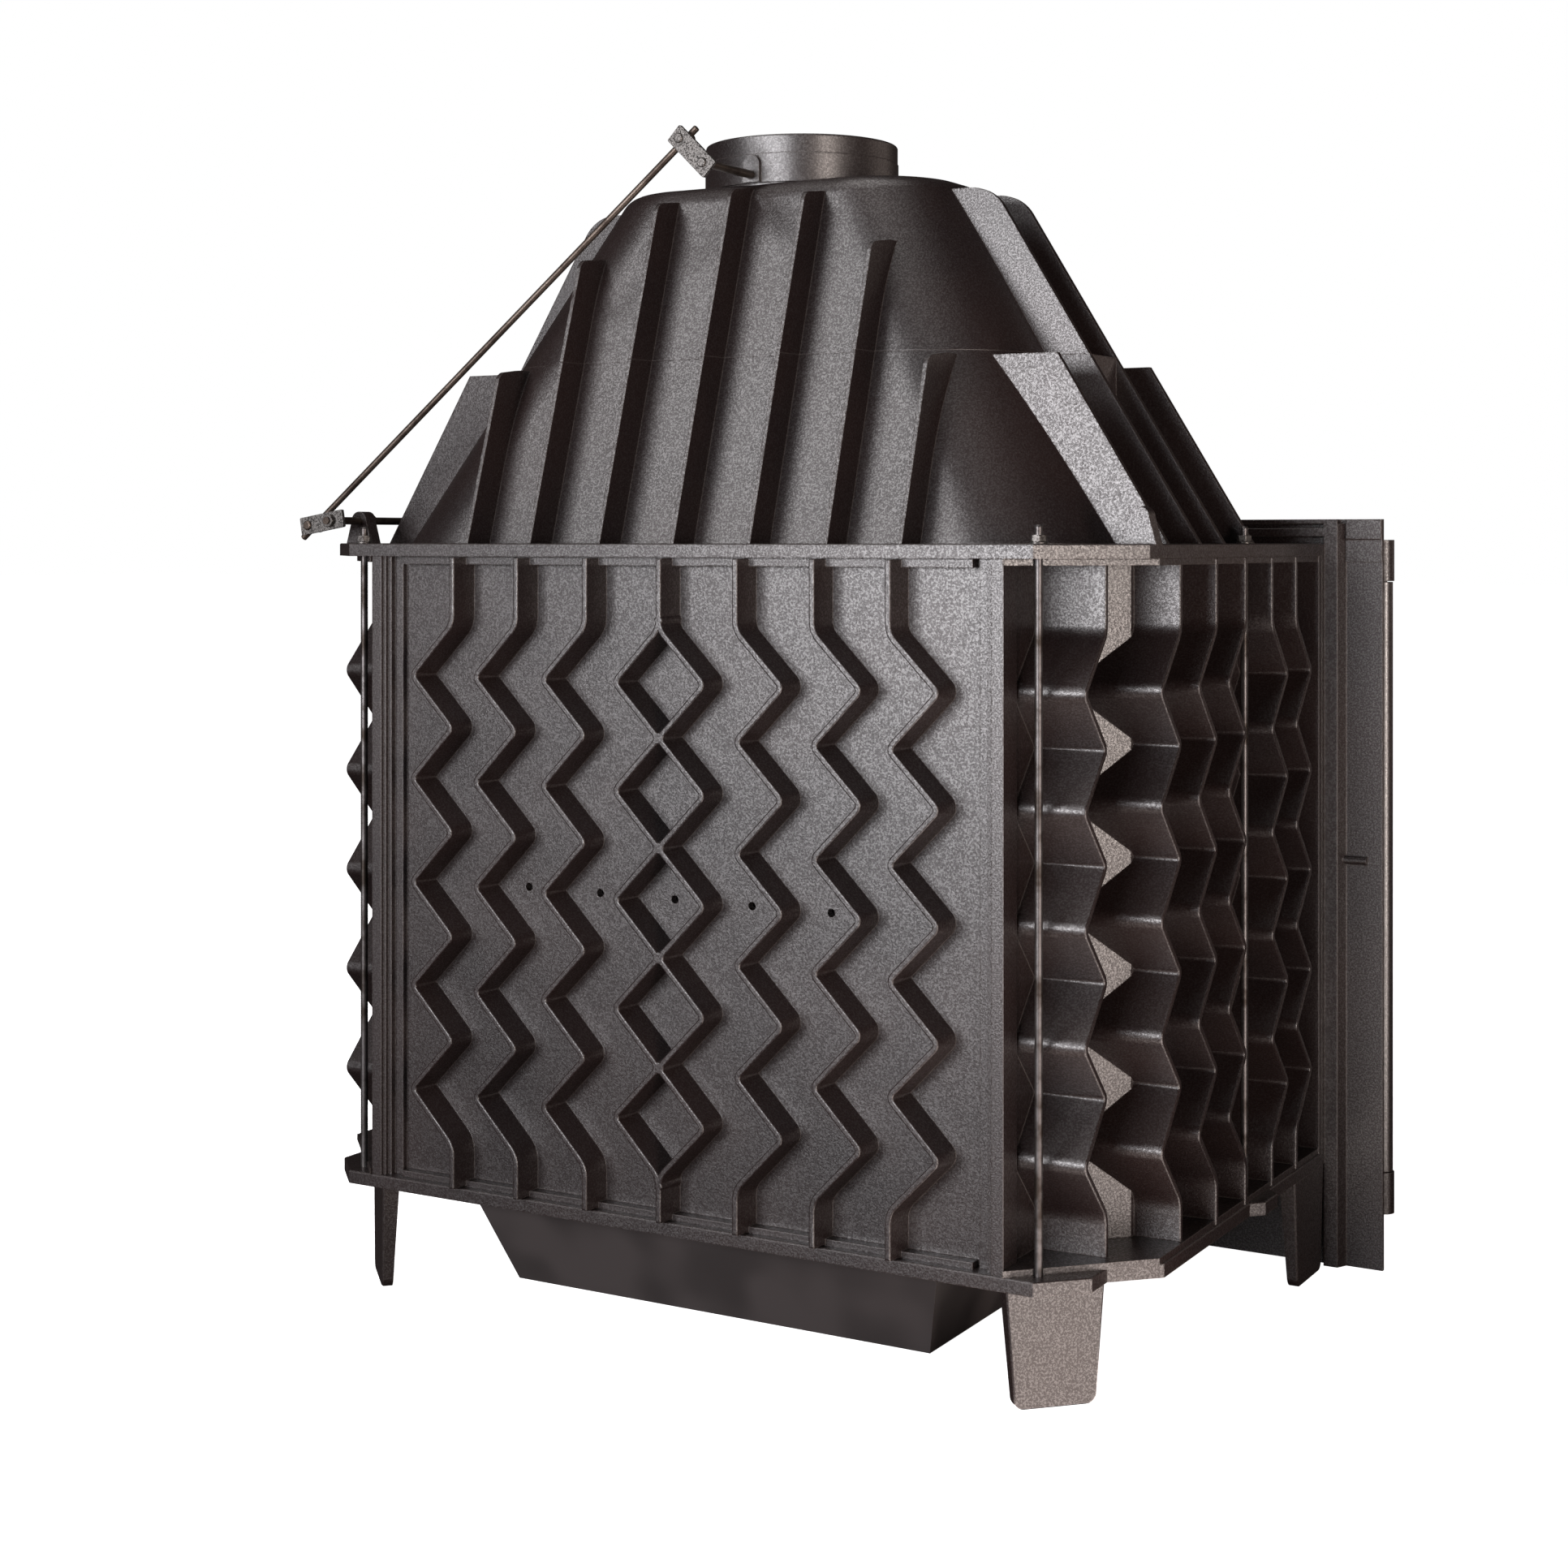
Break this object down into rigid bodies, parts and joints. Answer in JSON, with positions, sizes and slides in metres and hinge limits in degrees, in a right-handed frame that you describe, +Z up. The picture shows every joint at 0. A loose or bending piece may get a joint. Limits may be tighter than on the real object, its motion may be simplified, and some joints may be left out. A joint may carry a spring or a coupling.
{
  "type": "fireplace insert",
  "caption": "Cast-iron fireplace insert with zigzag cooling ribs, a ribbed two-piece smoke hood, a flue collar with a linked damper, legs and a hinged glass door.",
  "frame": {"origin": "on the floor under the middle of the insert's box", "axes": "+Z up, +Y to the back, the door on the -Y side, +X to the right as seen from the door"},
  "size_m": [1.0477, 0.6706, 1.179],
  "materials": {
    "cast_iron": "matt charcoal heat-proof paint over sand-cast iron, fine grain",
    "painted_steel": "matt dark paint on sheet steel",
    "zinc_steel": "dull zinc plating",
    "raw_steel": "oil-blackened mild steel",
    "black_knob": "satin black thermoset",
    "handle_steel": "satin nickel-plated bar",
    "ceramic_glass": "clear fire-proof ceramic glass",
    "rope_seal": "knitted glass-fibre rope"
  },
  "bodies": {
    "stove": {"bottom_plate": "cast_iron", "top_plate": "cast_iron", "back_panel": "cast_iron", "left_side_panel": "cast_iron", "right_side_panel": "cast_iron", "hood_lower": "cast_iron", "hood_upper": "cast_iron", "flue_collar": "cast_iron", "tie_rods": "raw_steel", "tie_rod_nuts": "zinc_steel", "tie_rod_washers": "zinc_steel", "leg_rear_left": "cast_iron", "leg_rear_right": "cast_iron", "leg_front_left": "cast_iron", "leg_front_right": "cast_iron", "leg_bolts": "zinc_steel", "ash_box": "painted_steel", "grate": "cast_iron", "back_lining": "cast_iron", "left_lining": "cast_iron", "right_lining": "cast_iron", "baffle": "cast_iron", "log_guard": "cast_iron", "front_frame": "cast_iron", "frame_screws": "zinc_steel", "air_slider_screws": "zinc_steel"},
    "door": {"door_frame": "cast_iron", "door_seal": "rope_seal", "hinge_pins": "raw_steel", "door_glass": "ceramic_glass", "glass_seal": "rope_seal", "glass_clips": "raw_steel", "glass_clip_screws": "zinc_steel"},
    "handle": {"latch_cam": "raw_steel", "handle_spindle": "raw_steel", "handle_lever": "handle_steel", "handle_grip": "black_knob"},
    "damper_control": {"control_shaft": "raw_steel", "lower_crank": "raw_steel", "lower_crank_nut": "zinc_steel", "control_knob": "black_knob"},
    "damper": {"damper_shaft": "raw_steel", "upper_crank": "raw_steel", "crank_rivets": "raw_steel", "damper_disc": "raw_steel"},
    "link": {"link_rod": "raw_steel", "link_swivels": "raw_steel"},
    "ash_drawer": {"ash_pan": "painted_steel", "ash_pan_front": "painted_steel", "ash_pan_knob": "black_knob"},
    "air_control": {"air_slider": "painted_steel", "air_slider_knob": "black_knob"}
  },
  "joints": [
    {"name": "door_hinge", "type": "hinge", "parent": "stove", "child": "door", "pos_m": [-0.5165, -0.27925, 0.4], "axis": [0, 0, -1], "range_deg": [0, 105]},
    {"name": "handle_turn", "type": "hinge", "parent": "door", "child": "handle", "pos_m": [0.427, -0.27925, 0.43], "axis": [0, -1, 0], "range_deg": [0, 90]},
    {"name": "damper_control_turn", "type": "hinge", "parent": "stove", "child": "damper_control", "pos_m": [0.445, 0.2, 0.791], "axis": [0, -1, 0], "range_deg": [0, 89.98]},
    {"name": "damper_turn", "type": "hinge", "parent": "stove", "child": "damper", "pos_m": [0, 0.058, 1.1385], "axis": [0, -1, 0], "range_deg": [-0.1, 85.1]},
    {"name": "link_swing", "type": "hinge", "parent": "damper_control", "child": "link", "pos_m": [0.47511, 0.281, 0.78612], "axis": [0, -1, 0], "range_deg": [-86.11, 0.1]},
    {"name": "ash_drawer_slide", "type": "slide", "parent": "stove", "child": "ash_drawer", "axis": [0, -1, 0], "range_m": [0, 0.35]},
    {"name": "air_slide", "type": "slide", "parent": "stove", "child": "air_control", "axis": [1, 0, 0], "range_m": [0, 0.018]}
  ],
  "couplings": [
    {"joint": "damper_turn", "follows": "damper_control_turn", "ratio": 0.94465},
    {"joint": "link_swing", "follows": "damper_control_turn", "ratio": -0.95593}
  ]
}
